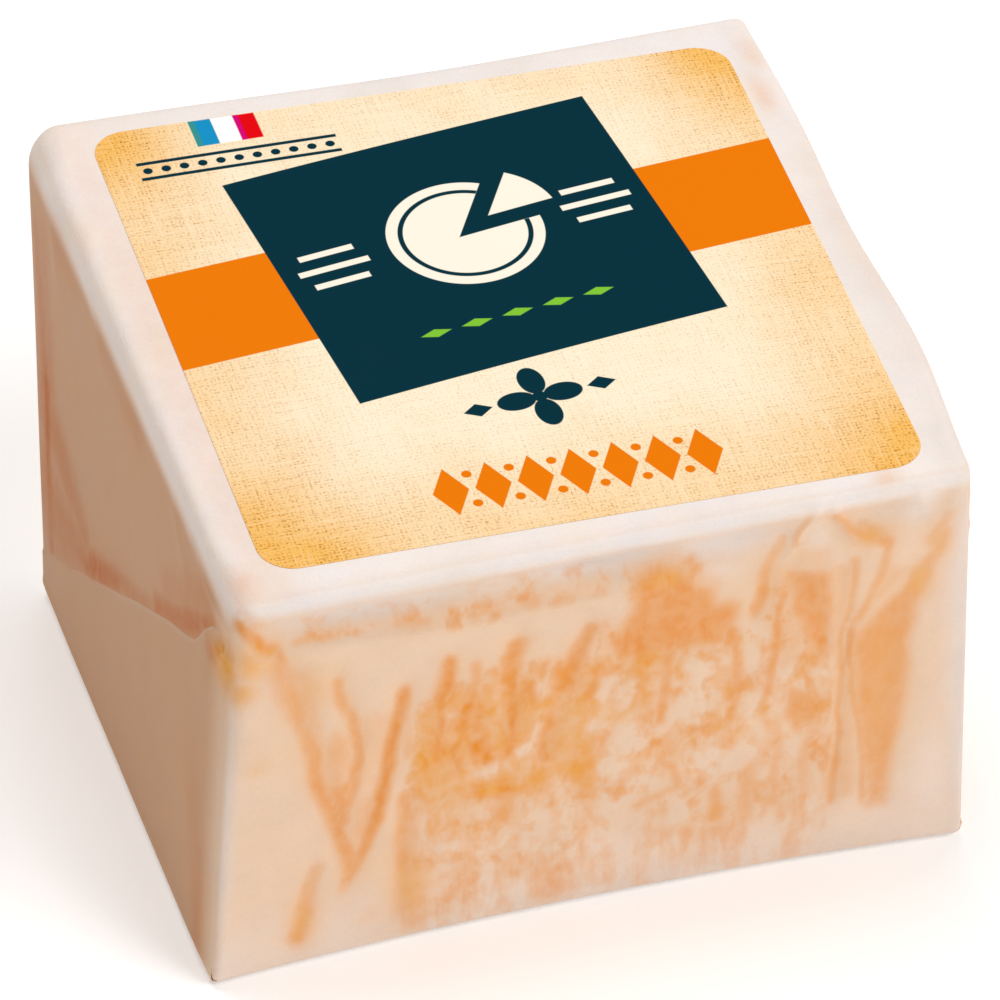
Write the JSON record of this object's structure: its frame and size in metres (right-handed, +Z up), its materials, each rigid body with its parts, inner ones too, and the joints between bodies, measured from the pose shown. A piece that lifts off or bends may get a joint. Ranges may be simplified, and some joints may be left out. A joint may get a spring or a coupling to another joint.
{
  "type": "paper-wrapped soft cheese",
  "caption": "Small square block of double cream soft cheese in folded waxed paper, with a square printed label on its sloping top.",
  "frame": {"origin": "middle of the object's box on the plane that it rests on", "axes": "+Z up, -Y towards the front face that the picture shows, +X to the right of that face"},
  "size_m": [0.0658, 0.0636, 0.0448],
  "materials": {
    "wrapper": "satin",
    "label": "satin"
  },
  "bodies": {
    "root": {"wrapper": "wrapper", "label": "label"}
  },
  "joints": []
}
